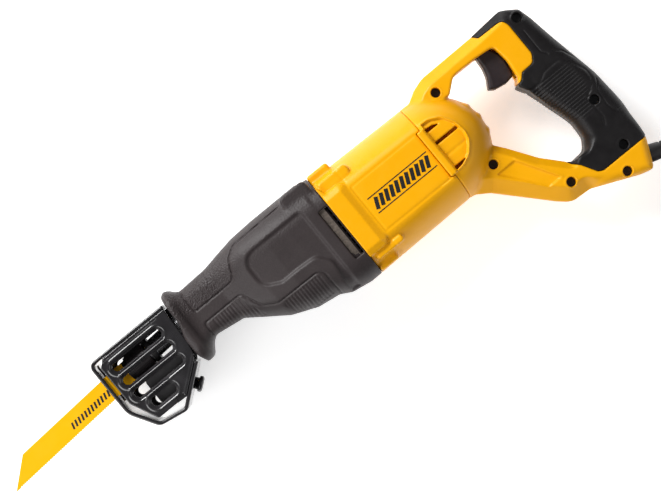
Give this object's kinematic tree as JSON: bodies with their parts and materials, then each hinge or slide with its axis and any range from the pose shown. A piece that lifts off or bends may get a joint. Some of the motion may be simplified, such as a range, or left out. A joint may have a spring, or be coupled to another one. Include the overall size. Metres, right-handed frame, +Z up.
{
  "type": "reciprocating saw",
  "caption": "Corded reciprocating saw lying on its side: barrel motor body, ribbed rubber boot, D-shaped rear handle, slotted tilting shoe and a straight blade.",
  "frame": {"origin": "centre of the lower raised block's flat face on the motor housing, where the saw lies on a table", "axes": "+X back along the motor axis towards the handle, +Y towards the tool's top and trigger, +Z up, out of the tool's left side"},
  "size_m": [0.6563, 0.3013, 0.08],
  "materials": {
    "yellow_plastic": "satin moulded",
    "boot_rubber": "matte moulded",
    "grip_rubber": "fine grained",
    "cord_rubber": "smooth flex",
    "dark_plastic": "satin moulded",
    "seal_rubber": "smooth",
    "cast_aluminium": "cast",
    "black_steel": "gloss black coated steel",
    "dark_steel": "blackened steel",
    "ground_steel": "ground",
    "screw_steel": "zinc plated",
    "laminated_steel": "stacked sheets",
    "copper": "enamelled wire and copper bars",
    "brass": "pressed",
    "bronze": "sintered",
    "carbon": "pressed carbon",
    "blade_paint": "painted steel with a bare toothed edge"
  },
  "bodies": {
    "housing": {"motor_housing": "yellow_plastic", "gearcase": "cast_aluminium", "gearcase_cover": "cast_aluminium", "boot": "boot_rubber", "gearcase_screws": "screw_steel", "stator_core": "laminated_steel", "field_coils": "copper", "fan_baffle": "dark_plastic", "brush_plate": "dark_plastic", "carbon_brushes": "carbon", "brush_holders": "brass", "motor_front_bearing": "ground_steel", "motor_rear_bearing": "ground_steel", "jackshaft_rear_bearing": "ground_steel", "jackshaft_front_bearing": "ground_steel", "plunger_front_bushing": "bronze", "plunger_rear_bushing": "bronze", "plunger_seal": "seal_rubber", "handle_left": "yellow_plastic", "handle_right": "yellow_plastic", "grip_cover_left": "grip_rubber", "grip_cover_right": "grip_rubber", "handle_screws": "screw_steel", "trigger_pin": "ground_steel", "switch_body": "dark_plastic", "cord_guard": "cord_rubber", "cord_clamp": "dark_plastic", "cord_tube": "cord_rubber", "cord_coil": "cord_rubber", "plug_body": "cord_rubber", "plug_pins": "ground_steel", "shoe_post": "dark_steel"},
    "armature": {"armature_shaft": "ground_steel", "armature_core": "laminated_steel", "armature_end_turns": "copper", "commutator": "copper", "cooling_fan": "dark_plastic"},
    "jackshaft": {"jackshaft": "ground_steel", "drive_gear": "ground_steel", "wobble_hub": "ground_steel"},
    "wobble": {"wobble_arm": "ground_steel"},
    "plunger": {"plunger": "ground_steel", "clamp_body": "dark_steel", "clamp_keeper_ring": "dark_steel", "clamp_pin": "ground_steel", "blade": "blade_paint"},
    "collar": {"clamp_collar": "dark_plastic"},
    "trigger": {"trigger": "dark_plastic"},
    "switch_button": {"switch_button": "dark_plastic"},
    "shoe": {"shoe_hoop": "black_steel", "shoe_plate_left": "black_steel", "shoe_plate_right": "black_steel", "shoe_bracket": "dark_steel", "shoe_pivot_pin": "dark_steel", "shoe_rivet": "dark_steel"}
  },
  "joints": [
    {"name": "armature_spin", "type": "hinge", "parent": "housing", "child": "armature", "pos_m": [0, 0, 0.04], "axis": [1, 0, 0], "continuous": true},
    {"name": "jackshaft_spin", "type": "hinge", "parent": "housing", "child": "jackshaft", "pos_m": [0, -0.0162, 0.04], "axis": [1, 0, 0], "continuous": true},
    {"name": "plunger_slide", "type": "slide", "parent": "housing", "child": "plunger", "axis": [-0.9979, -0.0645, 0], "range_m": [-0.0143, 0.0143]},
    {"name": "wobble_tilt", "type": "hinge", "parent": "housing", "child": "wobble", "pos_m": [-0.0525, -0.0162, 0.04], "axis": [0, 0, 1], "range_deg": [-18, 18]},
    {"name": "collar_turn", "type": "hinge", "parent": "plunger", "child": "collar", "pos_m": [-0.0525, 0.0304, 0.04], "axis": [-0.9979, -0.0645, 0], "range_deg": [0, 60], "stiffness_Nm_per_rad": 0.05, "springref_deg": -11.46},
    {"name": "trigger_pull", "type": "hinge", "parent": "housing", "child": "trigger", "pos_m": [0.1605, 0.041, 0.04], "axis": [0, 0, 1], "range_deg": [0, 12], "stiffness_Nm_per_rad": 0.6, "springref_deg": -5.73},
    {"name": "switch_button_slide", "type": "slide", "parent": "housing", "child": "switch_button", "axis": [1, 0, 0], "range_m": [0, 0.0045]},
    {"name": "shoe_tilt", "type": "hinge", "parent": "housing", "child": "shoe", "pos_m": [-0.1705, 0.004, 0.04], "axis": [0, 0, 1], "range_deg": [0, 8]}
  ],
  "couplings": [
    {"joint": "jackshaft_spin", "follows": "armature_spin", "ratio": -0.2},
    {"joint": "wobble_tilt", "follows": "plunger_slide", "rad_per_m": 21.811},
    {"joint": "switch_button_slide", "follows": "trigger_pull", "m_per_rad": 0.0205}
  ]
}
